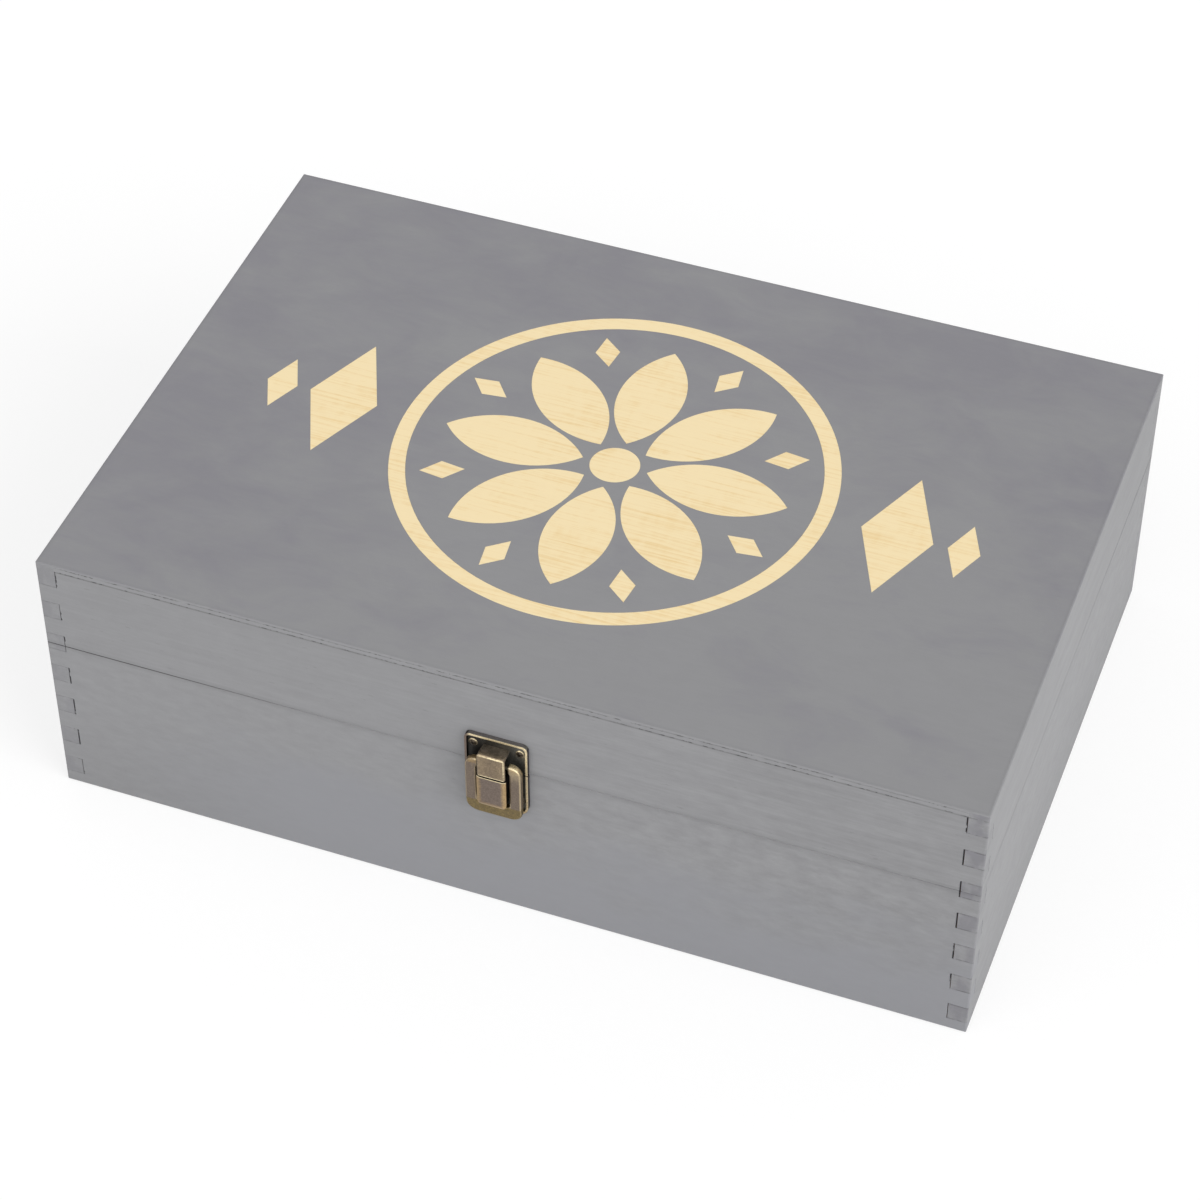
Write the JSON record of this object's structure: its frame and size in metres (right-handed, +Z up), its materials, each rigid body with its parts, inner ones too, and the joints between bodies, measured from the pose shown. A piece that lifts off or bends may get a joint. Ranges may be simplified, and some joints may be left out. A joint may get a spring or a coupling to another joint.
{
  "type": "hinged keepsake box",
  "caption": "Rectangular finger-jointed wooden box with a hinged lid, a flush pale inlay on the lid and a small front clasp with a swinging U-shaped lever.",
  "frame": {"origin": "centre of the wooden box's underside, on the surface it stands on", "axes": "+X to the right along the front, +Y from the front to the back, +Z up"},
  "size_m": [0.34, 0.2405, 0.11],
  "materials": {
    "painted_wood": "satin grey paint over fine-grained softwood, bare wood inside",
    "painted_plywood": "satin grey paint over thin plywood, bare wood underneath",
    "plywood": "bare sanded plywood",
    "pale_veneer": "pale maple veneer, satin",
    "antique_bronze": "brushed antique bronze with bright worn edges",
    "dark_bronze": "dark antique bronze with bright worn rims",
    "screw_bronze": "antique bronze",
    "pin_steel": "bronzed steel"
  },
  "bodies": {
    "base": {"base_front_board": "painted_wood", "base_back_board": "painted_wood", "base_left_board": "painted_wood", "base_right_board": "painted_wood", "base_bottom_panel": "plywood", "hinge_left_base_leaf": "antique_bronze", "hinge_left_pin": "pin_steel", "hinge_right_base_leaf": "antique_bronze", "hinge_right_pin": "pin_steel", "hinge_base_screws": "screw_bronze", "clasp_base_plate": "dark_bronze", "clasp_tongue": "antique_bronze", "clasp_pivot_pin": "pin_steel", "clasp_base_screws": "screw_bronze"},
    "lid": {"lid_front_board": "painted_wood", "lid_back_board": "painted_wood", "lid_left_board": "painted_wood", "lid_right_board": "painted_wood", "lid_top_panel": "painted_plywood", "lid_inlay_rosette": "pale_veneer", "lid_inlay_ring": "pale_veneer", "lid_inlay_lozenges": "pale_veneer", "hinge_left_lid_leaf": "antique_bronze", "hinge_right_lid_leaf": "antique_bronze", "hinge_lid_screws": "screw_bronze", "clasp_lid_plate": "dark_bronze", "clasp_keeper": "antique_bronze", "clasp_lid_screws": "screw_bronze"},
    "lever": {"clasp_lever": "antique_bronze"}
  },
  "joints": [
    {"name": "lid_hinge", "type": "hinge", "parent": "base", "child": "lid", "pos_m": [0, 0.1168, 0.071], "axis": [-1, 0, 0], "range_deg": [0, 180]},
    {"name": "clasp_lever_pivot", "type": "hinge", "parent": "base", "child": "lever", "pos_m": [0, -0.1192, 0.0755], "axis": [-1, 0, 0], "range_deg": [0, 115]}
  ]
}
